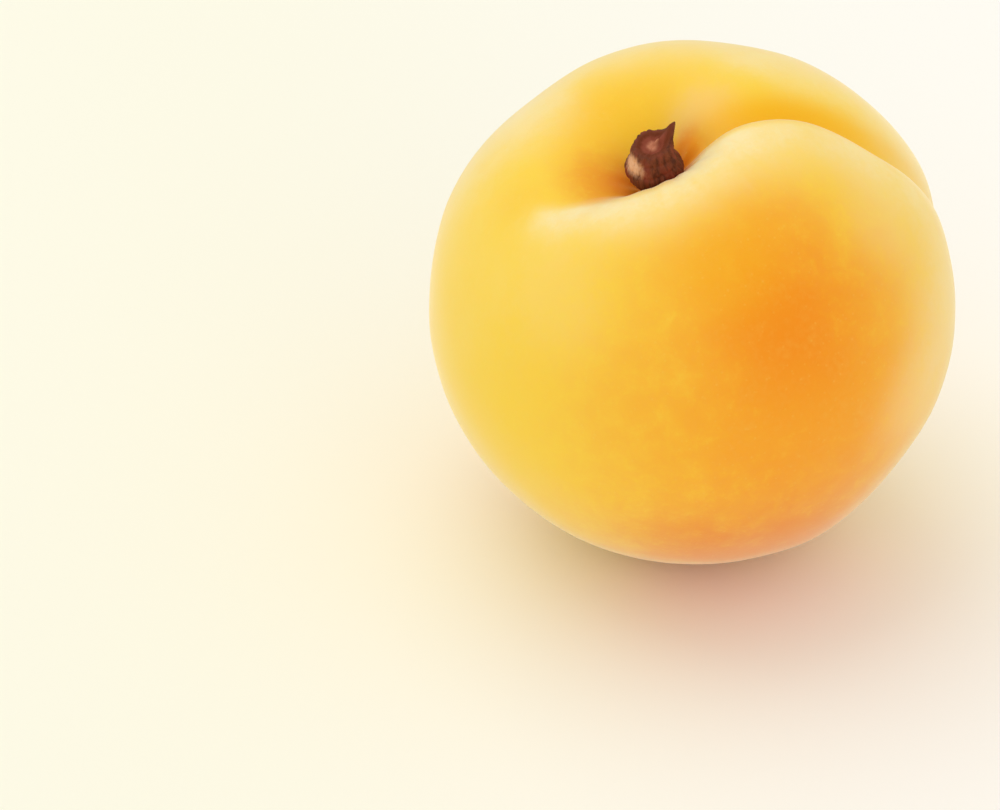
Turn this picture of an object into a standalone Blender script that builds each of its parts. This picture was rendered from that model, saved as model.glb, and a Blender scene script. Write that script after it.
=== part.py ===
# An apricot lying on the small flat spot that its own weight gives it, with the woody stub of
# its stalk standing in the stem cavity. Metres, +Z up, origin on the resting plane under the
# middle of the fruit.
#
# The shape is worked out in the fruit's own frame and then leaned over as the fruit lies. In
# that frame +Z runs from the centre out through the stem cavity, +X points to the side that
# carries the suture, the front cheek is on -Y and the back cheek on +Y. A place on the skin is
# given by its polar angle, from the stem axis, and its azimuth, round that axis from +X.

import math

import bmesh
import bpy
import numpy as np
from mathutils import Matrix

# Body of the fruit, half sizes from its centre
HALF_LENGTH = 0.0263
HALF_BREADTH = 0.0264
TOP_HEIGHT = 0.0250
LOW_HEIGHT = 0.0267
MEAN_RADIUS = 0.0268

# Stem cavity, with how far it spreads from the stem axis on each side
CAVITY_DEPTH = 0.0081
CAVITY_TO_SUTURE = 0.0055
CAVITY_TO_FAR_SIDE = 0.0098
CAVITY_TO_BACK = 0.0123
CAVITY_TO_FRONT = 0.0038
CAVITY_ROUNDNESS = 1.7
CAVITY_EDGE = 0.5  # cosine of the polar angle from which it fades out towards the equator

# Suture, a crease from the cavity down over one side: its front lip is steep, its back broad.
# It is deepest on the shoulder and fades out in the cavity and at the apex, and its front lip
# grows rounder down the side.
SUTURE_DEPTH_ON_SHOULDER = 0.0028
SUTURE_DEPTH_BELOW = 0.0011
SUTURE_SHOULDER = math.radians(20.0)
SUTURE_SHOULDER_SPREAD = math.radians(32.0)
SUTURE_FRONT_WIDTH = 0.0009
SUTURE_BACK_WIDTH = 0.0054
SUTURE_SOFTENING = 0.0022
SUTURE_SOFT_POLAR = math.radians(108.0)
SUTURE_SOFT_SPREAD = math.radians(30.0)
SUTURE_BOTTOM_RADIUS = 0.0003
SUTURE_SWING = math.radians(7.7)
SUTURE_BEND = math.radians(-2.46)
SUTURE_BEND_POLAR = math.radians(58.0)
SUTURE_BEND_SPREAD = math.radians(15.0)
SUTURE_START = math.radians(14.0)
SUTURE_END = math.radians(20.0)
SIDE_BLEND = 0.0013

# Shallow trough on the side across from the suture, fading out past the shoulder
TROUGH_DEPTH = 0.0011
TROUGH_FRONT_WIDTH = 0.0030
TROUGH_BACK_WIDTH = 0.0054
TROUGH_REACH = math.radians(31.0)

# The front cheek stands a little higher beside the cavity, and the apex has a small dimple
CHEEK_RISE = 0.00025
CHEEK_AHEAD = 0.0075
CHEEK_BREADTH = 0.0054
CHEEK_POLAR = math.radians(34.0)
CHEEK_SPREAD = math.radians(29.0)
DIMPLE_DEPTH = 0.0005
DIMPLE_RADIUS = 0.0024

# Broad swells and flats of a grown fruit: azimuth and polar angle in degrees, height in metres
SWELLS = (
    (-13.0, 93.0, -0.00028),
    (51.0, 54.0, -0.00036),
    (87.0, 51.0, 0.00034),
    (113.0, 55.0, -0.00030),
    (156.0, 78.0, -0.00022),
    (-83.0, 129.0, 0.00025),
    (-56.0, 121.0, -0.00030),
    (-14.0, 50.0, -0.00072),
    (7.9, 85.9, 0.00040),
)
SWELL_SPREAD = math.radians(12.5)

# Woody stub of the stalk: height above the cavity floor and radius, from the foot to the scar
STUB_SIDE = (
    (0.00060, 0.00090),
    (0.00110, 0.00135),
    (0.00170, 0.00195),
    (0.00240, 0.00250),
    (0.00310, 0.00290),
    (0.00380, 0.00308),
    (0.00450, 0.00292),
    (0.00520, 0.00258),
    (0.00590, 0.00228),
    (0.00655, 0.00208),
)
STUB_RIM = ((0.00700, 0.00195), (0.00700, 0.00145))
STUB_SCAR = ((0.00675, 0.00095), (0.00662, 0.00045))
STUB_OFF_AXIS = (-0.00050, 0.00018)
STUB_OVAL = 0.035
STUB_OVAL_TURN = math.radians(40.0)
STUB_RIBS = 5
STUB_RIB_HEIGHT = 0.03
STUB_SEGMENTS = 36
STUB_GAP = 0.0003

# A splinter of torn wood stands up from the stub's rim
SPLINTER_HEIGHT = 0.0016
SPLINTER_LEAN = 0.0008
SPLINTER_AZIMUTH = math.radians(4.0)
SPLINTER_SPREAD = math.radians(22.0)

# How the fruit lies
LEAN = math.radians(18.5)
LEAN_TOWARDS = math.radians(-119.7)
SUTURE_TURN = math.radians(138.4)
FLAT_SPOT_DEPTH = 0.00055

# Mesh of the skin: its meridians draw together at the suture, its parallels at the cavity
MERIDIANS = 80
PARALLELS = 56
MERIDIAN_CROWDING = 0.7
PARALLEL_CROWDING = 0.35
CUT_TOLERANCE = 0.000005

SKIN_COLOUR = (0.93, 0.44, 0.06)
SKIN_ROUGHNESS = 0.5
WOOD_COLOUR = (0.16, 0.055, 0.03)
WOOD_ROUGHNESS = 0.8
SHARP_ANGLE = math.radians(50.0)


def bell(value, middle, spread):
    """1 at the middle, falling smoothly to 0 beyond the spread."""
    return np.exp(-(((value - middle) / spread) ** 2))


def direction(polar, azimuth):
    """Unit vector from the fruit's centre."""
    sine = np.sin(polar)
    return np.stack([sine * np.cos(azimuth), sine * np.sin(azimuth), np.cos(polar)], axis=-1)


def suture_azimuth(polar, azimuth):
    """The crease winds a little to and fro as it runs down, and the skin beside it follows."""
    bend = SUTURE_BEND * bell(polar, SUTURE_BEND_POLAR, SUTURE_BEND_SPREAD)
    return (SUTURE_SWING * np.cos(2.0 * polar) + bend) * (0.5 + 0.5 * np.cos(azimuth))


def body_radius(point):
    """Egg-like body: three half sizes, with the lower half longer than the upper."""
    x, y, z = point[..., 0], point[..., 1], point[..., 2]
    height = np.where(z > 0.0, TOP_HEIGHT, LOW_HEIGHT)
    return 1.0 / np.sqrt((x / HALF_LENGTH) ** 2 + (y / HALF_BREADTH) ** 2 + (z / height) ** 2)


def cavity_depth(along, across, polar):
    """Hollow round the stem axis, tight in front and wide at the back."""
    reach_along = np.where(along > 0.0, CAVITY_TO_SUTURE, CAVITY_TO_FAR_SIDE)
    reach_across = np.where(across > 0.0, CAVITY_TO_BACK, CAVITY_TO_FRONT)
    spread = np.hypot(along / reach_along, across / reach_across)
    edge = np.clip(np.cos(polar) / CAVITY_EDGE, 0.0, 1.0)
    return CAVITY_DEPTH * np.exp(-(spread ** CAVITY_ROUNDNESS)) * edge ** 2 * (3.0 - 2.0 * edge)


def suture_depth(beside, polar):
    """Crease with a rounded bottom, steep on its front side and broad on its back side."""
    distance = np.hypot(beside, SUTURE_BOTTOM_RADIUS) - SUTURE_BOTTOM_RADIUS
    lip_width = SUTURE_FRONT_WIDTH + SUTURE_SOFTENING * bell(polar, SUTURE_SOFT_POLAR, SUTURE_SOFT_SPREAD)
    width = np.where(beside > 0.0, SUTURE_BACK_WIDTH, lip_width)
    extra = SUTURE_DEPTH_ON_SHOULDER - SUTURE_DEPTH_BELOW
    depth = SUTURE_DEPTH_BELOW + extra * bell(polar, SUTURE_SHOULDER, SUTURE_SHOULDER_SPREAD)
    starts = np.clip(polar / SUTURE_START, 0.0, 1.0)
    ends = np.clip((math.pi - polar) / SUTURE_END, 0.0, 1.0)
    return depth * np.exp(-distance / width) * starts * ends


def trough_depth(beside, polar):
    """Soft trough that carries the line of the suture on past the cavity."""
    width = np.where(beside > 0.0, TROUGH_BACK_WIDTH, TROUGH_FRONT_WIDTH)
    reach = np.exp(-((polar / TROUGH_REACH) ** 4))
    return TROUGH_DEPTH * reach * np.exp(-np.abs(beside) / width)


def swell_height(point):
    """Sum of the broad swells and flats."""
    height = np.zeros(point.shape[:-1])
    for azimuth, polar, rise in SWELLS:
        middle = direction(np.radians(polar), np.radians(azimuth))
        apart = np.sqrt(np.clip(2.0 - 2.0 * (point @ middle), 0.0, None))
        height = height + rise * bell(apart, 0.0, SWELL_SPREAD)
    return height


def skin_radius(polar, azimuth):
    """Distance from the fruit's centre to its skin."""
    point = direction(polar, azimuth)
    along = MEAN_RADIUS * point[..., 0]
    across = MEAN_RADIUS * point[..., 1]
    beside = MEAN_RADIUS * np.sin(polar) * np.sin(azimuth - suture_azimuth(polar, azimuth))
    suture_side = 1.0 / (1.0 + np.exp(-along / SIDE_BLEND))
    cheek = bell(across, -CHEEK_AHEAD, CHEEK_BREADTH) * bell(polar, CHEEK_POLAR, CHEEK_SPREAD)
    from_apex = MEAN_RADIUS * (math.pi - polar)

    radius = body_radius(point) - cavity_depth(along, across, polar)
    radius = radius - suture_side * suture_depth(beside, polar)
    radius = radius - (1.0 - suture_side) * trough_depth(beside, polar)
    radius = radius + CHEEK_RISE * cheek
    radius = radius - DIMPLE_DEPTH * bell(from_apex, 0.0, DIMPLE_RADIUS)
    return radius + swell_height(point)


def make_material(name, colour, roughness):
    material = bpy.data.materials.new(name)
    material.use_nodes = True
    shader = material.node_tree.nodes["Principled BSDF"]
    shader.inputs["Base Color"].default_value = (*colour, 1.0)
    shader.inputs["Roughness"].default_value = roughness
    shader.inputs["Metallic"].default_value = 0.0
    return material


def add_object(name, bm, material):
    """Turn a bmesh into a smooth-shaded object with its own material."""
    bmesh.ops.recalc_face_normals(bm, faces=bm.faces)
    mesh = bpy.data.meshes.new(name)
    bm.to_mesh(mesh)
    bm.free()
    mesh.shade_smooth()
    mesh.set_sharp_from_angle(angle=SHARP_ANGLE)
    mesh.materials.append(material)
    item = bpy.data.objects.new(name, mesh)
    bpy.context.collection.objects.link(item)
    return item


def cut_flat_spot(bm):
    """Cut the leaned fruit level where it lies and close the cut with one flat face."""
    ground = min(vertex.co.z for vertex in bm.verts) + FLAT_SPOT_DEPTH
    bmesh.ops.bisect_plane(
        bm,
        geom=bm.verts[:] + bm.edges[:] + bm.faces[:],
        dist=CUT_TOLERANCE,
        plane_co=(0.0, 0.0, ground),
        plane_no=(0.0, 0.0, 1.0),
        clear_inner=True,
    )
    rim = [edge for edge in bm.edges if edge.is_boundary]
    for edge in rim:
        for vertex in edge.verts:
            vertex.co.z = ground
    bmesh.ops.holes_fill(bm, edges=rim, sides=0)


def centre_on_ground(bm):
    """Set the lowest point on the ground with the middle of the fruit over the origin."""
    low = [min(vertex.co[axis] for vertex in bm.verts) for axis in range(3)]
    high = [max(vertex.co[axis] for vertex in bm.verts) for axis in range(3)]
    middle = [(start + end) / 2.0 for start, end in zip(low, high)]
    move = Matrix.Translation((-middle[0], -middle[1], -low[2]))
    bm.transform(move)
    return move


def build_fruit(lean):
    """The whole fruit as one closed body, and how far it was moved to stand on the ground."""
    bm = bmesh.new()
    bmesh.ops.create_uvsphere(bm, u_segments=MERIDIANS, v_segments=PARALLELS, radius=1.0)
    grid = np.array([vertex.co[:] for vertex in bm.verts])
    polar = np.arccos(np.clip(grid[:, 2], -1.0, 1.0))
    azimuth = np.arctan2(grid[:, 1], grid[:, 0])
    polar = polar - PARALLEL_CROWDING * np.sin(polar)
    azimuth = azimuth - MERIDIAN_CROWDING * np.sin(azimuth)
    azimuth = azimuth + suture_azimuth(polar, azimuth)
    skin = direction(polar, azimuth) * skin_radius(polar, azimuth)[:, None]
    for vertex, place in zip(bm.verts, skin):
        vertex.co = place
    bm.transform(lean)
    cut_flat_spot(bm)
    move = centre_on_ground(bm)
    add_object("fruit", bm, make_material("skin", SKIN_COLOUR, SKIN_ROUGHNESS))
    return move


def wall_distance(height, azimuth):
    """How far the cavity's wall is from the stem axis, at a height above the fruit's centre."""
    polar = np.linspace(0.0, math.pi / 3.5, 600)
    radius = skin_radius(polar, np.full_like(polar, azimuth))
    climb = np.maximum.accumulate(radius * np.cos(polar))
    return float(np.interp(height, climb, radius * np.sin(polar)))


def stub_point(height, radius, azimuth, raised):
    """A point of the stub, clear of the cavity's wall and lifted where the splinter stands."""
    oval = STUB_OVAL * math.sin(2.0 * azimuth + STUB_OVAL_TURN)
    ribs = STUB_RIB_HEIGHT * math.sin(STUB_RIBS * azimuth)
    level = TOP_HEIGHT - CAVITY_DEPTH + height
    x = STUB_OFF_AXIS[0] + radius * (1.0 + oval + ribs) * math.cos(azimuth)
    y = STUB_OFF_AXIS[1] + radius * (1.0 + oval + ribs) * math.sin(azimuth)
    room = wall_distance(level - STUB_GAP, math.atan2(y, x)) - STUB_GAP
    squeeze = min(1.0, room / math.hypot(x, y))
    turn = (azimuth - SPLINTER_AZIMUTH + math.pi) % (2.0 * math.pi) - math.pi
    splinter = raised * bell(turn, 0.0, SPLINTER_SPREAD)
    x = x * squeeze + SPLINTER_LEAN * splinter * math.cos(azimuth)
    y = y * squeeze + SPLINTER_LEAN * splinter * math.sin(azimuth)
    return (x, y, level + SPLINTER_HEIGHT * splinter)


def build_stub(pose):
    """A knob that swells above its foot and ends in a raised rim round a sunken scar."""
    rings = [(height, radius, 0.0) for height, radius in STUB_SIDE]
    rings += [(height, radius, 1.0) for height, radius in STUB_RIM]
    rings += [(height, radius, 0.0) for height, radius in STUB_SCAR]
    bm = bmesh.new()
    rows = []
    for height, radius, raised in rings:
        row = []
        for step in range(STUB_SEGMENTS):
            azimuth = 2.0 * math.pi * step / STUB_SEGMENTS
            row.append(bm.verts.new(stub_point(height, radius, azimuth, raised)))
        rows.append(row)
    for lower, upper in zip(rows, rows[1:]):
        for step in range(STUB_SEGMENTS):
            after = (step + 1) % STUB_SEGMENTS
            bm.faces.new((lower[step], lower[after], upper[after], upper[step]))
    bm.faces.new(rows[0])
    bm.faces.new(rows[-1])
    stub = add_object("stem_stub", bm, make_material("stem_wood", WOOD_COLOUR, WOOD_ROUGHNESS))
    stub.matrix_world = pose


def main():
    for item in list(bpy.data.objects):
        bpy.data.objects.remove(item, do_unlink=True)
    lean = Matrix.Rotation(LEAN_TOWARDS, 4, "Z") @ Matrix.Rotation(LEAN, 4, "Y")
    lean = lean @ Matrix.Rotation(SUTURE_TURN, 4, "Z")
    move = build_fruit(lean)
    build_stub(move @ lean)


main()
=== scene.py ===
import math

import bmesh
import bpy
import numpy as np
from mathutils import Matrix, Vector, noise


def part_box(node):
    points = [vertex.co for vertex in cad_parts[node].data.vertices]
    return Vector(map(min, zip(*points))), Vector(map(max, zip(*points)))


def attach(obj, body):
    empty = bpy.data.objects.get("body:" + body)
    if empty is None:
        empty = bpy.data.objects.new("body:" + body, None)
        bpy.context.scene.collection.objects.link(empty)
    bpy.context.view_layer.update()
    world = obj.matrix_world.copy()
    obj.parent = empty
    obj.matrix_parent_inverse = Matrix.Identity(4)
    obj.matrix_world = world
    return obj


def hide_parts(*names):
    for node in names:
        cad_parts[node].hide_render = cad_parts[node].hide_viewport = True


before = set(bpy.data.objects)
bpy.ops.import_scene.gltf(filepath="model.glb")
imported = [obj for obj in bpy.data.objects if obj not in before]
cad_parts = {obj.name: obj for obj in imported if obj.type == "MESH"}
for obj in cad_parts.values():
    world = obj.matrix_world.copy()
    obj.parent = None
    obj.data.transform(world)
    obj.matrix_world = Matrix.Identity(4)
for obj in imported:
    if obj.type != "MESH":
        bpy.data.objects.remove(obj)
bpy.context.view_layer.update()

fruitLow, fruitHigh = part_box("fruit")
mm = 0.001


# How the fruit lies. In its own frame +Z runs out through the stem cavity and +X to the suture.
pose = {
    "lean": math.radians(18.5),
    "leanTowards": math.radians(-119.7),
    "sutureTurn": math.radians(138.4),
    "flatDepth": 0.55 * mm,
    "flatEdge": 0.12 * mm,  # how softly the skin rolls onto the flat spot
}

skinShape = {
    "halfSizes": (26.3 * mm, 26.4 * mm),
    "topHeight": 25.0 * mm,
    "lowHeight": 26.7 * mm,
    "meanRadius": 26.8 * mm,
    "cavityDepth": 8.1 * mm,
    "cavityAlong": (9.8 * mm, 5.5 * mm),  # away from the suture, towards it
    "cavityAcross": (3.8 * mm, 12.3 * mm),  # front, back
    "cavityRoundness": 1.7,
    "cavityEdge": 0.5,  # it fades out from this cosine of the polar angle down to the equator
    "sutureDepths": (1.1 * mm, 2.8 * mm),  # down the side, on the shoulder
    "sutureShoulder": (math.radians(20.0), math.radians(32.0)),
    "sutureWidths": (0.9 * mm, 5.4 * mm),  # steep front lip, broad back
    "sutureSoftening": (2.2 * mm, math.radians(108.0), math.radians(30.0)),  # rounder lip, place, reach
    "sutureBottom": 0.22 * mm,  # how round the furrow is at its bottom
    "sutureSwing": math.radians(7.7),
    "sutureBend": (math.radians(-2.46), math.radians(58.0), math.radians(15.0)),  # turn, place, reach
    "sutureEnds": (math.radians(14.0), math.radians(20.0)),
    "sideBlend": 1.3 * mm,  # how softly the suture's side passes into the trough's
    "troughDepth": 1.1 * mm,
    "troughWidths": (3.0 * mm, 5.4 * mm),
    "troughReach": math.radians(31.0),
    "cheekRise": 0.25 * mm,
    "cheekPlace": (-7.5 * mm, 5.4 * mm),
    "cheekPolar": (math.radians(34.0), math.radians(29.0)),
    "dimpleDepth": 0.5 * mm,
    "dimpleRadius": 2.4 * mm,
    "swells": (  # azimuth and polar place in degrees, rise
        (-13.0, 93.0, -0.28 * mm),
        (51.0, 54.0, -0.36 * mm),
        (87.0, 51.0, 0.34 * mm),
        (113.0, 55.0, -0.30 * mm),
        (156.0, 78.0, -0.22 * mm),
        (-83.0, 129.0, 0.25 * mm),
        (-56.0, 121.0, -0.30 * mm),
        (-14.0, 50.0, -0.72 * mm),
        (7.9, 85.9, 0.40 * mm),
    ),
    "swellSpread": math.radians(12.5),
    "meridians": 352,
    "parallels": 256,
    "meridianCrowding": 0.66,  # towards the suture
    "parallelCrowding": 0.42,  # towards the cavity
    "puckers": 13,  # soft folds that run down into the cavity
    "puckerWander": (1.7, 2.0, 0.6),  # how far they stray from even, how often, from where
    "puckerDepth": 0.10 * mm,
    "puckerPlace": (4.2 * mm, 2.4 * mm),  # distance from the stub's middle, reach
    "collarRise": 0.35 * mm,  # skin drawn up round the foot of the stub
    "collarPlace": (2.5 * mm, 1.1 * mm),
    "unevenHeight": 0.07 * mm,
    "unevenSize": 5.5 * mm,
    "tipHeight": 0.35 * mm,  # point left by the flower, in the dimple under the fruit
    "tipRadius": 0.7 * mm,
}


def bell(value, middle, spread):
    return np.exp(-(((value - middle) / spread) ** 2))


def halfTurn(angle):  # the same angle, between minus and plus half a turn
    return (angle + math.pi) % (2.0 * math.pi) - math.pi


def direction(polar, azimuth):
    sine = np.sin(polar)
    return np.stack([sine * np.cos(azimuth), sine * np.sin(azimuth), np.cos(polar)], axis=-1)


def sutureAzimuth(polar, azimuth):
    turn, place, reach = skinShape["sutureBend"]
    turned = skinShape["sutureSwing"] * np.cos(2.0 * polar) + turn * bell(polar, place, reach)
    return turned * (0.5 + 0.5 * np.cos(azimuth))


def besideSuture(polar, azimuth):
    return skinShape["meanRadius"] * np.sin(polar) * np.sin(azimuth - sutureAzimuth(polar, azimuth))


def sutureSide(x):  # 1 on the suture's side of the fruit, 0 on the other
    return 1.0 / (1.0 + np.exp(-skinShape["meanRadius"] * x / skinShape["sideBlend"]))


def skinRadius(polar, azimuth):
    s = skinShape
    point = direction(polar, azimuth)
    x, y, z = point[..., 0], point[..., 1], point[..., 2]
    along, across = s["meanRadius"] * x, s["meanRadius"] * y
    halfX, halfY = s["halfSizes"]
    height = np.where(z > 0.0, s["topHeight"], s["lowHeight"])
    radius = 1.0 / np.sqrt((x / halfX) ** 2 + (y / halfY) ** 2 + (z / height) ** 2)

    reachAlong = np.where(along > 0.0, s["cavityAlong"][1], s["cavityAlong"][0])
    reachAcross = np.where(across > 0.0, s["cavityAcross"][1], s["cavityAcross"][0])
    spread = np.hypot(along / reachAlong, across / reachAcross)
    edge = np.clip(z / s["cavityEdge"], 0.0, 1.0)
    edge = edge * edge * (3.0 - 2.0 * edge)
    radius = radius - s["cavityDepth"] * np.exp(-(spread ** s["cavityRoundness"])) * edge

    beside = besideSuture(polar, azimuth)
    away = np.hypot(beside, s["sutureBottom"]) - s["sutureBottom"]
    softer, softPlace, softReach = s["sutureSoftening"]
    lipWidth = s["sutureWidths"][0] + softer * bell(polar, softPlace, softReach)
    width = np.where(beside > 0.0, s["sutureWidths"][1], lipWidth)
    low, high = s["sutureDepths"]
    depth = low + (high - low) * bell(polar, *s["sutureShoulder"])
    depth = depth * np.clip(polar / s["sutureEnds"][0], 0.0, 1.0)
    depth = depth * np.clip((math.pi - polar) / s["sutureEnds"][1], 0.0, 1.0)
    radius = radius - sutureSide(x) * depth * np.exp(-away / width)

    width = np.where(beside > 0.0, s["troughWidths"][1], s["troughWidths"][0])
    trough = s["troughDepth"] * np.exp(-((polar / s["troughReach"]) ** 4))
    radius = radius - (1.0 - sutureSide(x)) * trough * np.exp(-np.abs(beside) / width)

    cheek = bell(across, *s["cheekPlace"]) * bell(polar, *s["cheekPolar"])
    radius = radius + s["cheekRise"] * cheek
    fromApex = s["meanRadius"] * (math.pi - polar)
    radius = radius - s["dimpleDepth"] * bell(fromApex, 0.0, s["dimpleRadius"])
    for swellAzimuth, swellPolar, rise in s["swells"]:
        middle = direction(np.radians(swellPolar), np.radians(swellAzimuth))
        apart = np.sqrt(np.clip(2.0 - 2.0 * (point @ middle), 0.0, None))
        radius = radius + rise * bell(apart, 0.0, s["swellSpread"])
    return radius


def skinRelief(polar, azimuth):  # what only shows close to: puckers, collar, the flower's point
    s = skinShape
    fromStem = s["meanRadius"] * np.sin(polar)
    upper = polar < math.pi / 2.0
    stray, often, start = s["puckerWander"]
    folds = np.sin(s["puckers"] * azimuth + stray * np.sin(often * azimuth + start))
    folds = folds * bell(fromStem, *s["puckerPlace"])
    relief = np.where(upper, s["puckerDepth"] * folds, 0.0)
    collar = bell(fromStem, *s["collarPlace"])
    relief = relief + np.where(upper, s["collarRise"] * collar, 0.0)
    fromApex = s["meanRadius"] * (math.pi - polar)
    relief = relief + s["tipHeight"] * bell(fromApex, 0.0, s["tipRadius"])
    return relief


lean = Matrix.Rotation(pose["leanTowards"], 4, "Z") @ Matrix.Rotation(pose["lean"], 4, "Y")
lean = lean @ Matrix.Rotation(pose["sutureTurn"], 4, "Z")


def joinRings(bm, rings):  # faces between closed rings that have the same number of points
    for lower, upper in zip(rings, rings[1:]):
        for step in range(len(lower)):
            after = (step + 1) % len(lower)
            bm.faces.new((lower[step], lower[after], upper[after], upper[step]))


def finishMesh(name, bm, material):
    bmesh.ops.recalc_face_normals(bm, faces=bm.faces)
    mesh = bpy.data.meshes.new(name)
    bm.to_mesh(mesh)
    bm.free()
    mesh.shade_smooth()
    mesh.materials.append(material)
    item = bpy.data.objects.new(name, mesh)
    bpy.context.collection.objects.link(item)
    return item


def keepValues(mesh, name, values):
    layer = mesh.attributes.new(name, "FLOAT", "POINT")
    layer.data.foreach_set("value", np.asarray(values, dtype=np.float32))


def keepVectors(mesh, name, vectors):
    layer = mesh.attributes.new(name, "FLOAT_VECTOR", "POINT")
    layer.data.foreach_set("vector", np.asarray(vectors, dtype=np.float32).ravel())


class Wire:  # a socket that can stand in a sum: numbers go through Math nodes
    def __init__(self, socket):
        self.socket = socket

    def calc(self, operation, *values):
        node = self.socket.id_data.nodes.new("ShaderNodeMath")
        node.operation = operation
        for place, value in zip(node.inputs, values):
            plug(value, place)
        return Wire(node.outputs[0])

    def __add__(self, other):
        return self.calc("ADD", self, other)

    def __radd__(self, other):
        return self.calc("ADD", other, self)

    def __sub__(self, other):
        return self.calc("SUBTRACT", self, other)

    def __rsub__(self, other):
        return self.calc("SUBTRACT", other, self)

    def __mul__(self, other):
        return self.calc("MULTIPLY", self, other)

    def __rmul__(self, other):
        return self.calc("MULTIPLY", other, self)

    def __truediv__(self, other):
        return self.calc("DIVIDE", self, other)

    def __rtruediv__(self, other):
        return self.calc("DIVIDE", other, self)


def plug(value, place):
    if isinstance(value, Wire):
        place.id_data.links.new(value.socket, place)
    else:
        place.default_value = value


class Finish:  # a material and its nodes
    def __init__(self, name):
        self.material = bpy.data.materials.new(name)
        self.material.use_nodes = True
        self.tree = self.material.node_tree
        self.shader = self.tree.nodes["Principled BSDF"]

    def node(self, kind, settings=None, places=None, output=0):
        made = self.tree.nodes.new(kind)
        for key, value in (settings or {}).items():
            setattr(made, key, value)
        for key, value in (places or {}).items():
            plug(value, made.inputs[key])
        return Wire(made.outputs[output])

    def surface(self, places):
        for key, value in places.items():
            plug(value, self.shader.inputs[key])

    def kept(self, name, output="Fac"):  # a value kept on the mesh
        return self.node("ShaderNodeAttribute", {"attribute_name": name}, output=output)

    def noise(self, vector, scale, detail, roughness, distortion=0.0):
        places = {"Vector": vector, "Scale": scale, "Detail": detail}
        places.update({"Roughness": roughness, "Distortion": distortion})
        return self.node("ShaderNodeTexNoise", {"noise_dimensions": "3D"}, places)

    def ease(self, value, start, end):  # smooth step from 0 to 1
        settings = {"interpolation_type": "SMOOTHSTEP"}
        places = {"Value": value, "From Min": start, "From Max": end}
        return self.node("ShaderNodeMapRange", settings, places)

    def blend(self, mask, under, over):  # a Mix node's colours go in at 6 and 7 and come out at 2
        settings = {"data_type": "RGBA", "clamp_factor": True}
        return self.node("ShaderNodeMix", settings, {0: mask, 6: under, 7: over}, 2)

    def patch(self, grown, centre, spread):  # 1 at a place on the fruit, easing to 0 round it
        settings = {"operation": "DISTANCE"}
        apart = self.node("ShaderNodeVectorMath", settings, {0: grown, 1: centre}, "Value")
        return self.fall(apart / spread)

    def bump(self, height, strength, depth):
        places = {"Strength": strength, "Distance": depth, "Height": height}
        return self.node("ShaderNodeBump", {}, places)

    def fall(self, value):  # 1 at zero, easing to 0 past one on both sides
        return value.calc("EXPONENT", value * value * -1.0)


def shade(red, green, blue):  # from 0 to 255 as a screen shows it, to Blender's linear colour
    def linear(value):
        value = value / 255.0
        return value / 12.92 if value <= 0.04045 else ((value + 0.055) / 1.055) ** 2.4
    return (linear(red), linear(green), linear(blue), 1.0)


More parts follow.
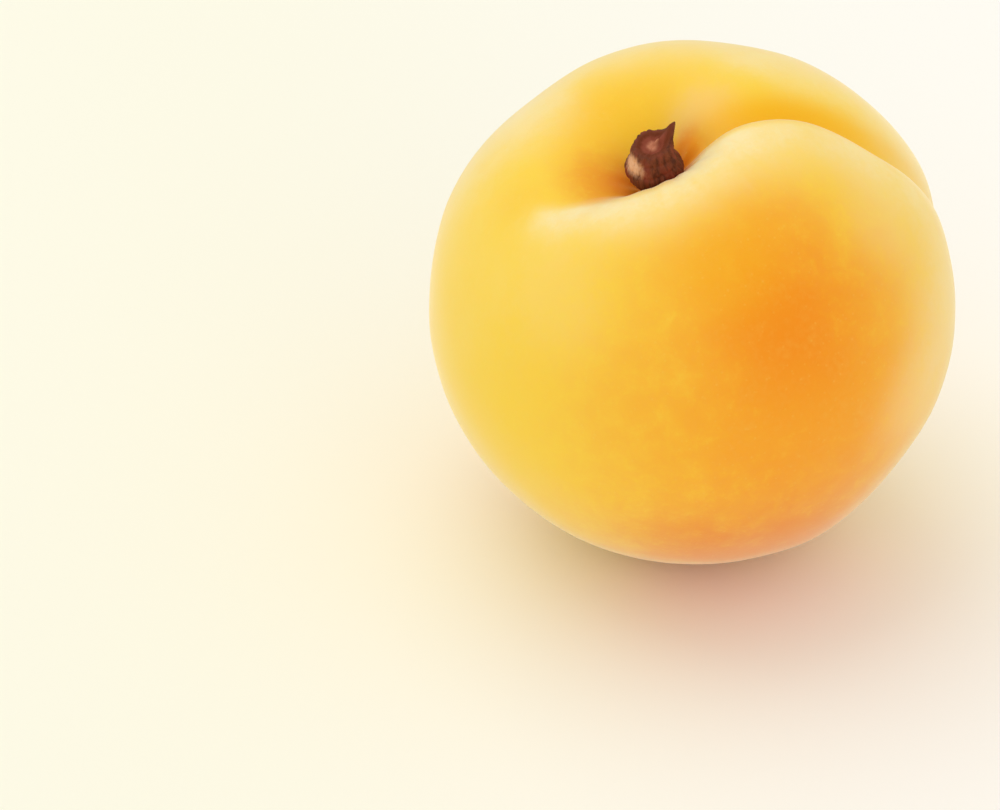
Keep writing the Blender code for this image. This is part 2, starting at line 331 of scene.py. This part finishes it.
skinFinish = {
    "yellow": shade(252, 211, 60),
    "paleYellow": shade(254, 224, 110),
    "apricot": shade(247, 169, 39),
    "orange": shade(245, 142, 15),
    "gold": shade(249, 184, 8),
    # the skin's deeper orange in the cavity, with painted bounce light
    "cavity": shade(240, 138, 14),
    # darker orange-brown on the underside: painted shade
    "underShadeOrange": shade(236, 131, 42),
    # the skin's deeper orange at the stub's foot, with painted bounce light
    "foot": shade(240, 108, 22),
    "haze": shade(250, 204, 116),
    "tip": shade(96, 52, 30),
    # pale down with painted sheen and painted highlight
    "bloomAndSheen": shade(253, 232, 172),
    "broadNoise": (2.6, 2.0, 0.5),  # size, detail, roughness and distortion
    "mottleNoise": (11.0, 4.0, 0.6, 0.4),
    "fineNoise": (46.0, 3.0, 0.6),
    "unevenness": (0.7, 0.9, 0.5),  # how much each of the three breaks up the tints
    "palePatches": 0.35,
    "tintEdge": (0.02, 1.02),
    "veil": 0.12,  # thin pale mottling over the tints
    "veilShares": (0.5, 0.5),
    "veilEdge": (0.40, 0.75),
    "goldBand": (1.6, 2.6, 0.85),  # beside the suture: middle and reach in millimetres, strength
    "goldShoulder": (math.radians(38.0), math.radians(34.0)),
    "stemRings": (  # colour, wander, outer and inner millimetres from the stub's axis, strength; the skin's deeper orange with painted bounce light
        ("cavity", 3.0, 6.6, 3.2, 0.7),
        ("foot", 1.6, 4.4, 2.6, 0.6),
    ),
    "outOfReach": 30.0,  # stands for those millimetres on the fruit's lower half
    "poreScale": 34.0,
    "poreEdge": (0.24, 0.06),
    "poreTint": 0.20,
    "poreBottom": (0.22, 0.04),
    "poreDepth": 0.5,
    "tipEdge": (0.9, 0.35),  # millimetres from the apex
    "downNoise": (150.0, 3.0, 0.65),
    "downHeight": 0.7,
    "softNoise": (40.0, 2.0, 0.5),
    "softHeight": 0.6,
    "bumpStrength": 0.45,
    "bumpDepth": 0.03 * mm,
    "tints": (  # colour, the middle of its place, spread, strength
        ("apricot", (0.13, -0.88, 0.28), 0.84, 0.95),
        ("apricot", (0.04, -0.58, 0.81), 0.34, 0.3),
        # painted shade on the underside
        ("underShadeOrange", (-0.12, -0.80, -0.58), 0.66, 0.95),
        ("orange", (0.23, -0.77, 0.60), 0.38, 0.75),
        ("orange", (0.22, -0.78, 0.59), 0.18, 0.5),
        ("orange", (0.20, -0.56, 0.80), 0.26, 0.3),
        ("orange", (0.12, -0.95, 0.20), 0.46, 0.22),
        ("gold", (-0.06, 0.34, 0.94), 0.36, 0.6),
        ("gold", (-0.58, 0.12, 0.80), 0.12, 0.22),
        ("gold", (0.07, -0.57, 0.82), 0.24, 0.35),
        ("haze", (0.26, 0.18, 0.95), 0.17, 0.8),
        # the skin's deeper orange in the cavity and at the stub's foot, with painted bounce light
        ("cavity", (-0.26, 0.07, 0.96), 0.20, 0.75),
        ("foot", (-0.19, 0.07, 0.98), 0.10, 0.5),
        ("foot", (0.15, 0.09, 0.98), 0.09, 0.9),
        # pale down, with painted sheen towards the rims and painted highlights on the left and upper
        # right shoulders
        ("bloomAndSheen", (-0.58, -0.36, 0.73), 0.24, 0.15),
        ("bloomAndSheen", (-0.80, 0.05, 0.60), 0.34, 0.10),
        ("bloomAndSheen", (-0.30, 0.68, 0.67), 0.20, 0.46),
        ("bloomAndSheen", (0.05, 0.73, 0.68), 0.20, 0.36),
        ("bloomAndSheen", (0.50, 0.39, 0.78), 0.14, 0.42),
        ("bloomAndSheen", (0.34, 0.62, 0.71), 0.24, 0.32),
        ("bloomAndSheen", (0.66, 0.36, 0.66), 0.24, 0.40),
        ("bloomAndSheen", (0.93, 0.06, 0.36), 0.34, 0.36),
        ("bloomAndSheen", (0.95, -0.30, 0.10), 0.46, 0.36),
        ("bloomAndSheen", (0.58, -0.81, -0.02), 0.22, 0.26),
        ("bloomAndSheen", (0.78, -0.62, 0.06), 0.26, 0.26),
        ("bloomAndSheen", (0.69, -0.43, 0.58), 0.20, 0.16),
        ("bloomAndSheen", (-0.52, 0.58, 0.63), 0.32, 0.44),
        ("bloomAndSheen", (-0.36, 0.54, 0.76), 0.20, 0.24),
        ("apricot", (0.48, 0.78, -0.40), 0.55, 0.45),
        ("apricot", (-0.66, 0.40, -0.60), 0.50, 0.40),
        ("orange", (0.10, 0.60, -0.78), 0.34, 0.30),
    ),
    "lipPath": (  # the near lip of the cavity and the suture: place, how pale its down and painted highlight are, reach
        ((-0.57, 0.04, 0.82), 0.10, 0.09),
        ((-0.53, -0.01, 0.85), 0.62, 0.10),
        ((-0.48, -0.05, 0.88), 0.86, 0.12),
        ((-0.40, -0.09, 0.91), 0.90, 0.14),
        ((-0.32, -0.14, 0.94), 0.92, 0.14),
        ((-0.24, -0.19, 0.95), 0.92, 0.14),
        ((-0.17, -0.22, 0.96), 0.90, 0.14),
        ((-0.08, -0.24, 0.97), 0.88, 0.14),
        ((0.01, -0.21, 0.98), 0.88, 0.16),
        ((0.10, -0.14, 0.98), 0.94, 0.20),
        ((0.19, -0.085, 0.98), 0.92, 0.21),
        ((0.29, -0.08, 0.95), 0.88, 0.19),
        ((0.41, -0.08, 0.91), 0.70, 0.19),
        ((0.55, -0.09, 0.83), 0.58, 0.18),
        ((0.70, -0.12, 0.71), 0.62, 0.16),
        ((0.81, -0.18, 0.56), 0.54, 0.15),
        ((0.87, -0.25, 0.42), 0.36, 0.14),
        ((0.88, -0.35, 0.32), 0.10, 0.14),
    ),
    "lipInside": 0.040,  # how far the pale down and its painted highlight reach into the cavity
    "roughness": 0.55,
    "roughnessMottle": 0.16,
    "gloss": 0.16,
    "lightBend": 1.40,
    "sheen": 1.0,
    "sheenRoughness": 0.37,
    "sheenTint": shade(255, 242, 212),
    "flesh": 0.18,
    "fleshRadius": (1.0, 0.42, 0.10),
    "fleshScale": 2.2 * mm,
}


def makeSkinFinish():
    f = skinFinish
    skin = Finish("apricotSkin")
    grown = skin.kept("grown", "Vector")
    beside = skin.kept("besideSuture")
    shoulder = skin.kept("shoulder")
    fromStem = skin.kept("fromStem")
    fromApex = skin.kept("fromApex")

    broad = skin.noise(grown, *f["broadNoise"])
    mottle = skin.noise(grown, *f["mottleNoise"])
    fine = skin.noise(grown, *f["fineNoise"])
    broadShare, mottleShare, fineShare = f["unevenness"]
    uneven = 1.0 + (broad - 0.5) * broadShare
    uneven = uneven + (mottle - 0.5) * mottleShare + (fine - 0.5) * fineShare

    colour = skin.blend(broad * f["palePatches"], f["yellow"], f["paleYellow"])
    for name, centre, spread, strength in f["tints"]:
        mask = skin.patch(grown, centre, spread) * uneven
        colour = skin.blend(skin.ease(mask, *f["tintEdge"]) * strength, colour, f[name])
    mottleShare, fineShare = f["veilShares"]
    veil = skin.ease(mottle * mottleShare + fine * fineShare, *f["veilEdge"])
    colour = skin.blend(veil * f["veil"], colour, f["paleYellow"])
    middle, reach, strength = f["goldBand"]
    goldBand = skin.fall((beside - middle) / reach) * shoulder
    colour = skin.blend(goldBand * strength, colour, f["gold"])
    # orange rings round the stem: the skin's colour and painted bounce light in the cavity
    for name, wander, outer, inner, strength in f["stemRings"]:
        ring = skin.ease(fromStem + (mottle - 0.5) * wander, outer, inner)
        colour = skin.blend(ring * strength, colour, f[name])
    # pale down along the near lip, with a painted highlight
    colour = skin.blend(skin.kept("lipDownAndHighlight") * uneven, colour, f["bloomAndSheen"])
    places = {"Vector": grown, "Scale": f["poreScale"]}
    pores = skin.node("ShaderNodeTexVoronoi", {}, places, "Distance")
    specks = skin.ease(pores, *f["poreEdge"]) * fine
    colour = skin.blend(specks * f["poreTint"], colour, f["paleYellow"])
    colour = skin.blend(skin.ease(fromApex, *f["tipEdge"]), colour, f["tip"])

    down = skin.noise(grown, *f["downNoise"]) * f["downHeight"]
    down = down + skin.noise(grown, *f["softNoise"]) * f["softHeight"]
    height = down - skin.ease(pores, *f["poreBottom"]) * f["poreDepth"]
    skin.surface({
        "Base Color": colour,
        "Roughness": f["roughness"] + (mottle - 0.5) * f["roughnessMottle"],
        "Specular IOR Level": f["gloss"],
        "Sheen Weight": f["sheen"],
        "Sheen Roughness": f["sheenRoughness"],
        "Sheen Tint": f["sheenTint"],
        "Subsurface Weight": f["flesh"],
        "Subsurface Radius": f["fleshRadius"],
        "Subsurface Scale": f["fleshScale"],
        "IOR": f["lightBend"],
        "Normal": skin.bump(height, f["bumpStrength"], f["bumpDepth"]),
    })
    return skin.material


def lipDownAndHighlight(grown):  # how pale the down and the painted highlight are beside the near lip
    nearest = np.full(len(grown), np.inf)
    down = np.zeros(len(grown))
    path = [np.array([*place, pale, reach]) for place, pale, reach in skinFinish["lipPath"]]
    for start, end in zip(path, path[1:]):
        stretch = end - start
        along = np.clip((grown - start[:3]) @ stretch[:3] / (stretch[:3] @ stretch[:3]), 0.0, 1.0)
        here = start + along[:, None] * stretch
        apart = np.linalg.norm(grown - here[:, :3], axis=1)
        reach = np.where(grown[:, 1] > here[:, 1], skinFinish["lipInside"], here[:, 4])
        down = np.where(apart < nearest, here[:, 3] * bell(apart, 0.0, reach), down)
        nearest = np.minimum(nearest, apart)
    return down


def makeSkin():
    s = skinShape
    ringPolar = np.arange(1, s["parallels"]) * math.pi / s["parallels"]
    ringAzimuth = np.arange(s["meridians"]) * 2.0 * math.pi / s["meridians"] - math.pi
    polar, azimuth = np.meshgrid(ringPolar, ringAzimuth, indexing="ij")
    polar = np.concatenate([[0.0], polar.ravel(), [math.pi]])  # a pole, the rings, the other pole
    azimuth = np.concatenate([[0.0], azimuth.ravel(), [0.0]])
    polar = polar - s["parallelCrowding"] * np.sin(polar)
    azimuth = azimuth - s["meridianCrowding"] * np.sin(azimuth)
    azimuth = azimuth + sutureAzimuth(polar, azimuth)
    grown = direction(polar, azimuth)
    plain = skinRadius(polar, azimuth)
    stretch = s["meanRadius"] / s["unevenSize"]
    uneven = np.array([noise.noise(Vector(way) * stretch) for way in grown])
    radius = plain + skinRelief(polar, azimuth) + s["unevenHeight"] * uneven

    turn = np.array(lean.to_3x3())
    bare = (grown * plain[:, None]) @ turn.T
    middle = (bare.min(axis=0) + bare.max(axis=0)) / 2.0
    cadMiddle = (fruitLow + fruitHigh) / 2.0
    move = Vector((
        cadMiddle.x - middle[0],
        cadMiddle.y - middle[1],
        fruitLow.z - bare[:, 2].min() - pose["flatDepth"],
    ))
    placed = (grown * radius[:, None]) @ turn.T + np.array(move)
    above = placed[:, 2] - fruitLow.z
    placed[:, 2] = fruitLow.z + 0.5 * (above + np.hypot(above, pose["flatEdge"]))
    bm = bmesh.new()
    points = [bm.verts.new(spot) for spot in placed]
    around = s["meridians"]
    rings = [points[start:start + around] for start in range(1, len(points) - 1, around)]
    joinRings(bm, rings)
    for pole, ring in ((points[0], rings[0]), (points[-1], rings[-1])):
        for point, after in zip(ring, ring[1:] + ring[:1]):
            bm.faces.new((pole, point, after))
    item = finishMesh("apricotSkin", bm, makeSkinFinish())

    upper = polar < math.pi / 2.0
    fromStem = s["meanRadius"] * np.sin(polar) / mm
    shoulder = sutureSide(grown[:, 0]) * bell(polar, *skinFinish["goldShoulder"])
    keepVectors(item.data, "grown", grown)
    keepValues(item.data, "lipDownAndHighlight", lipDownAndHighlight(grown))
    keepValues(item.data, "fromStem", np.where(upper, fromStem, skinFinish["outOfReach"]))
    keepValues(item.data, "besideSuture", besideSuture(polar, azimuth) / mm)
    keepValues(item.data, "shoulder", shoulder)
    keepValues(item.data, "fromApex", s["meanRadius"] * (math.pi - polar) / mm)
    return item, Matrix.Translation(move) @ lean


stubShape = {
    "side": (  # height above the cavity's floor, radius
        (-0.30 * mm, 0.60 * mm),
        (0.20 * mm, 0.80 * mm),
        (0.60 * mm, 1.00 * mm),
        (1.10 * mm, 1.45 * mm),
        (1.70 * mm, 2.05 * mm),
        (2.40 * mm, 2.58 * mm),
        (3.10 * mm, 2.95 * mm),
        (3.80 * mm, 3.10 * mm),
        (4.50 * mm, 2.94 * mm),
        (5.20 * mm, 2.60 * mm),
        (5.90 * mm, 2.30 * mm),
        (6.55 * mm, 2.10 * mm),
        (7.00 * mm, 1.95 * mm),
    ),
    "scar": (  # from the rim in to the pith
        (7.00 * mm, 1.45 * mm),
        (6.76 * mm, 1.12 * mm),
        (6.66 * mm, 0.72 * mm),
        (6.72 * mm, 0.36 * mm),
        (6.62 * mm, 0.10 * mm),
    ),
    "offAxis": (-0.50 * mm, 0.18 * mm),
    "oval": 0.035,
    "ovalTurn": math.radians(40.0),
    "ribs": 5,
    "ribHeight": 0.03,
    "sunk": 0.12 * mm,  # how far its foot may press into the cavity's wall
    "wallStep": 5.0,  # degrees between the places where the wall is looked up
    "segments": 168,
    "sideRings": 84,
    "scarRings": 34,
    "rimWidth": 0.32 * mm,
    "splinterHeight": 1.6 * mm,
    "splinterLean": 0.8 * mm,
    "splinterAzimuth": math.radians(4.0),
    "splinterSpread": math.radians(18.0),
    "splinterRoundness": 1.8,
    "tornAwayAzimuth": math.radians(14.0),  # the shoulder is torn away under the splinter
    "tornAwaySpread": math.radians(46.0),
    "tornAwayDepth": 0.95 * mm,
    "tornAwayHeight": 4.4 * mm,
    "tornAwayReach": 1.3 * mm,
    "grainStretch": 0.22,  # the bark's grain runs along the stub
    "barkDepth": 0.17 * mm,
    "furrowScale": 1.15,
    "furrowSharpness": 2.6,
    "fibreShare": 0.35,  # of the bark's depth
    "fibreScale": 3.8,
    "ringDepth": 0.09 * mm,
    "ringWidth": 0.14 * mm,
    "ringWander": 0.25 * mm,
    "ringHeights": (2.9 * mm, 4.9 * mm, 5.9 * mm),
    "tornDepth": 0.16 * mm,
    "tornScale": 3.4,
    "crackShare": 0.6,  # of the torn depth
    "crackScale": 2.3,
}

stubFinish = {
    "bark": shade(124, 66, 42),
    "barkDark": shade(80, 40, 24),
    "barkRed": shade(136, 62, 44),
    # painted highlight on the stub's lit flank
    "litFlankHighlight": shade(228, 178, 138),
    "scar": shade(138, 66, 44),
    "scarRing": shade(112, 50, 22),
    "pith": shade(194, 124, 92),
    "roughness": 0.72,
    "roughnessFibre": 0.3,
    "gloss": 0.2,
    "fibreNoise": (2.4, 6.0, 0.66, 0.5),
    "blotchNoise": (0.9, 3.0, 0.55),
    "barkEdge": (0.34, 0.66),
    "redEdge": (0.46, 0.66),
    "redStrength": 0.7,
    # where the painted highlight sits on the stub's flank
    "highlightAzimuth": math.radians(190.0),
    "highlightSpread": math.radians(42.0),
    "highlightHeight": 5.55 * mm,
    "highlightReach": 1.25 * mm,
    "highlightRagged": 0.7,
    "highlightEdge": (0.30, 0.95),
    "pithRagged": 0.7,
    "pithEdge": (0.15, 0.75),  # millimetres from the pith
    "ringRagged": 0.5,
    "ringEdge": (0.9, 1.35),
    "bumpStrength": 0.6,
    "bumpDepth": 0.05 * mm,
}


def wallDistance(height, azimuth):  # from the stem axis to the cavity's wall at a height
    polar = np.linspace(0.0, math.pi / 3.5, 600)  # past the shoulder, in fine steps
    radius = skinRadius(polar, np.full_like(polar, azimuth))
    climb = np.maximum.accumulate(radius * np.cos(polar))
    return float(np.interp(height, climb, radius * np.sin(polar)))


def evenSteps(profile, count):  # even steps along a profile, rounded at its points
    points = np.array(profile)
    run = np.concatenate([[0.0], np.cumsum(np.hypot(*np.diff(points, axis=0).T))])
    steps = np.linspace(0.0, run[-1], count)
    side = 3  # each step is the mean of itself and this many on either side
    window = np.ones(2 * side + 1) / (2 * side + 1)
    rounded = []
    for column in points.T:
        values = np.interp(steps, run, column)
        padded = np.pad(values, side, mode="reflect", reflect_type="odd")
        rounded.append(np.convolve(padded, window, mode="valid"))
    return np.stack(rounded, axis=1)


def makeStubFinish():
    f = stubFinish
    wood = Finish("stalkWood")
    grain = wood.kept("woodGrain", "Vector")
    fromPith = wood.kept("fromPith")
    fibre = wood.noise(grain, *f["fibreNoise"])
    blotch = wood.noise(grain, *f["blotchNoise"])
    colour = wood.blend(wood.ease(fibre, *f["barkEdge"]), f["barkDark"], f["bark"])
    colour = wood.blend(wood.ease(blotch, *f["redEdge"]) * f["redStrength"], colour, f["barkRed"])
    # painted highlight on the stub's lit flank
    patch = wood.kept("patch") + (fibre - 0.5) * f["highlightRagged"]
    colour = wood.blend(wood.ease(patch, *f["highlightEdge"]), colour, f["litFlankHighlight"])
    pith = wood.ease(fromPith + (blotch - 0.5) * f["pithRagged"], *f["pithEdge"])
    cut = wood.blend(pith, f["pith"], f["scar"])
    ring = wood.ease(fromPith + (fibre - 0.5) * f["ringRagged"], *f["ringEdge"])
    cut = wood.blend(ring, cut, f["scarRing"])
    wood.surface({
        "Base Color": wood.blend(wood.kept("scar"), colour, cut),
        "Roughness": f["roughness"] + (fibre - 0.5) * f["roughnessFibre"],
        "Specular IOR Level": f["gloss"],
        "Normal": wood.bump(fibre, f["bumpStrength"], f["bumpDepth"]),
    })
    return wood.material


def barkRelief(grain, height, azimuth):  # furrows, fine fibres and rings
    s = stubShape
    furrow = 1.0 - abs(noise.noise(grain * s["furrowScale"])) * s["furrowSharpness"]
    relief = -s["barkDepth"] * max(0.0, furrow) ** 2
    relief = relief + s["fibreShare"] * s["barkDepth"] * noise.noise(grain * s["fibreScale"])
    for ringHeight in s["ringHeights"]:
        spot = Vector((math.cos(azimuth), math.sin(azimuth), ringHeight / mm))
        wander = s["ringWander"] * noise.noise(spot)
        relief = relief - s["ringDepth"] * bell(height, ringHeight + wander, s["ringWidth"])
    return relief


def stubReach(radius, grain, height, azimuth, onScar):  # from the stub's own middle to its side
    s = stubShape
    ribs = 1.0 + s["oval"] * math.sin(2.0 * azimuth + s["ovalTurn"])
    ribs = ribs + s["ribHeight"] * math.sin(s["ribs"] * azimuth)
    bark = 0.0 if onScar else barkRelief(grain, height, azimuth)
    off = halfTurn(azimuth - s["tornAwayAzimuth"])
    tornAway = s["tornAwayDepth"] * bell(off, 0.0, s["tornAwaySpread"])
    tornAway = tornAway * bell(height, s["tornAwayHeight"], s["tornAwayReach"])
    return radius * ribs + bark - tornAway


def makeStub(place):
    s = stubShape
    f = stubFinish
    floor = skinShape["topHeight"] - skinShape["cavityDepth"]
    rimTop = s["side"][-1][0]
    azimuths = np.arange(s["segments"]) * 2.0 * math.pi / s["segments"]
    fromSplinter = np.abs(halfTurn(azimuths - s["splinterAzimuth"]))
    splinter = np.exp(-((fromSplinter / s["splinterSpread"]) ** s["splinterRoundness"]))
    bearings = np.radians(np.arange(0.0, 360.0 + s["wallStep"], s["wallStep"]))
    side = evenSteps(s["side"], s["sideRings"])
    scar = evenSteps(s["scar"], s["scarRings"])
    bm = bmesh.new()
    rings = []
    kept = []
    for number, (height, radius) in enumerate(np.concatenate([side, scar])):
        onScar = number >= len(side)
        raised = bell(height, rimTop, s["rimWidth"])
        level = floor + height
        walls = [wallDistance(level, bearing) for bearing in bearings]
        ring = []
        for azimuth, peak in zip(azimuths, splinter):
            cosine, sine = math.cos(azimuth), math.sin(azimuth)
            grain = Vector((cosine * radius, sine * radius, height * s["grainStretch"])) / mm
            reach = stubReach(radius, grain, height, azimuth, onScar)
            x = s["offAxis"][0] + reach * cosine
            y = s["offAxis"][1] + reach * sine
            wall = float(np.interp(math.atan2(y, x) % (2.0 * math.pi), bearings, walls))
            squeeze = min(1.0, (wall + s["sunk"]) / math.hypot(x, y))
            lift = raised * peak
            around = Vector((cosine, sine, 0.0))
            torn = s["tornDepth"] * noise.noise(around * s["tornScale"]) * raised
            if onScar:
                cracks = noise.noise(grain * s["crackScale"])
                torn = torn + s["crackShare"] * s["tornDepth"] * cracks
            ring.append(bm.verts.new((
                x * squeeze + s["splinterLean"] * lift * cosine,
                y * squeeze + s["splinterLean"] * lift * sine,
                level + s["splinterHeight"] * lift + torn,
            )))
            # where the painted highlight falls on the stub's lit flank
            off = halfTurn(azimuth - f["highlightAzimuth"])
            patch = bell(off, 0.0, f["highlightSpread"])
            patch = patch * bell(height, f["highlightHeight"], f["highlightReach"])
            kept.append((*grain, float(onScar), reach / mm, patch))
        rings.append(ring)
    joinRings(bm, rings)
    bm.faces.new(rings[0])
    bm.faces.new(rings[-1])
    bm.transform(place)
    item = finishMesh("stalkStub", bm, makeStubFinish())
    kept = np.array(kept)
    keepVectors(item.data, "woodGrain", kept[:, :3])
    for column, name in enumerate(("scar", "fromPith", "patch"), start=3):
        keepValues(item.data, name, kept[:, column])
    return item


room = {
    "floorSize": 6.0,
    "floor": shade(254, 253, 248),
    "floorWarm": shade(251, 250, 234),
    "floorTurn": (-0.06, 0.04),  # from the warmer to the plainer side
    "floorRoughness": 0.85,
    "sky": shade(255, 253, 248),
    "skyStrength": 0.80,
    "lamps": (  # name, power in watts, width, place
        ("key", 1.4, 0.7, (-0.22, 0.22, 0.70)),
        ("fill", 1.3, 0.9, (0.16, -0.85, 0.34)),
    ),
}

cameraPlace = {
    "elevation": math.radians(35.0),
    "distance": 1.0,
    "lens": 363.0,
    "sensor": 36.0,
    "nearest": 0.05,
    "furthest": 20.0,
    "aside": 19.06 * mm,  # the fruit stands right of the middle of the view, and above it
    "above": 10.69 * mm,
}


def makeFloor():
    finish = Finish("paleTable")
    spot = finish.node("ShaderNodeTexCoord", output="Object")
    across = finish.node("ShaderNodeSeparateXYZ", {}, {"Vector": spot})
    tone = finish.ease(across, *room["floorTurn"])
    finish.surface({
        "Base Color": finish.blend(tone, room["floorWarm"], room["floor"]),
        "Roughness": room["floorRoughness"],
    })
    bm = bmesh.new()
    bmesh.ops.create_grid(bm, x_segments=8, y_segments=8, size=room["floorSize"] / 2.0)
    item = finishMesh("paleTable", bm, finish.material)


def makeLights():
    world = bpy.data.worlds.new("softRoom")
    bpy.context.scene.world = world
    world.use_nodes = True
    sky = world.node_tree.nodes["Background"]
    sky.inputs["Color"].default_value = room["sky"]
    sky.inputs["Strength"].default_value = room["skyStrength"]
    for name, power, width, spot in room["lamps"]:
        lamp = bpy.data.lights.new(name, "AREA")
        lamp.energy = power
        lamp.size = width
        item = bpy.data.objects.new(name, lamp)
        bpy.context.collection.objects.link(item)
        item.location = spot
        item.rotation_euler = (-Vector(spot)).to_track_quat("-Z", "Y").to_euler()


def makeCamera(centre):
    c = cameraPlace
    lens = bpy.data.cameras.new("camera")
    lens.lens = c["lens"]
    lens.sensor_width = c["sensor"]
    lens.clip_start = c["nearest"]
    lens.clip_end = c["furthest"]
    item = bpy.data.objects.new("camera", lens)
    bpy.context.collection.objects.link(item)
    tilt = Matrix.Rotation(math.pi / 2.0 - c["elevation"], 4, "X")
    back = Matrix.Translation((-c["aside"], -c["above"], c["distance"]))
    item.matrix_world = Matrix.Translation(centre) @ tilt @ back
    bpy.context.scene.camera = item


bpy.context.scene.view_settings.view_transform = "Standard"
skin, place = makeSkin()
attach(skin, "root")
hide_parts("fruit")
print("skin made")
stub = makeStub(place)
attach(stub, "root")
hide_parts("stem_stub")
print("stub made")
makeFloor()
makeLights()
makeCamera(place.translation)
print("room, lights and camera made")
